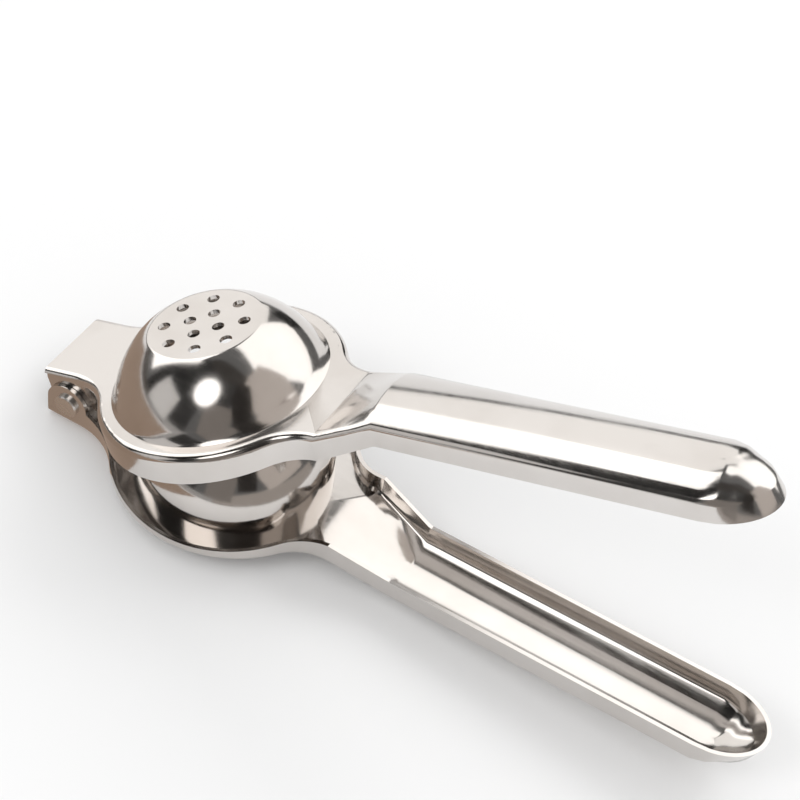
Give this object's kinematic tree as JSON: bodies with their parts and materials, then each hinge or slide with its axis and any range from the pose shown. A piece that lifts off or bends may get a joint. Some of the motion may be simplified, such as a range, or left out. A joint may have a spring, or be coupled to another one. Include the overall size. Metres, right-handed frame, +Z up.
{
  "type": "hinged lemon squeezer",
  "caption": "Hinged stainless lemon squeezer: two drawn sheet arms on one cross rivet, a perforated cup above a smooth pressing bowl, with long hollow handles.",
  "frame": {"origin": "centre of the part's base on the surface it rests on", "axes": "+X from the hinge towards the handles, +Y across the arms towards the rivet's domed head, +Z up"},
  "size_m": [0.213, 0.067, 0.103],
  "materials": {
    "arm_steel": "mirror polished",
    "rivet_steel": "polished"
  },
  "bodies": {
    "presser": {"presser_arm": "arm_steel", "hinge_rivet": "rivet_steel"},
    "strainer": {"strainer_arm": "arm_steel"}
  },
  "joints": [
    {"name": "arm_hinge", "type": "hinge", "parent": "presser", "child": "strainer", "pos_m": [-0.09714, 0, 0.00749], "axis": [0, -1, 0], "range_deg": [-19.5, 71]}
  ]
}
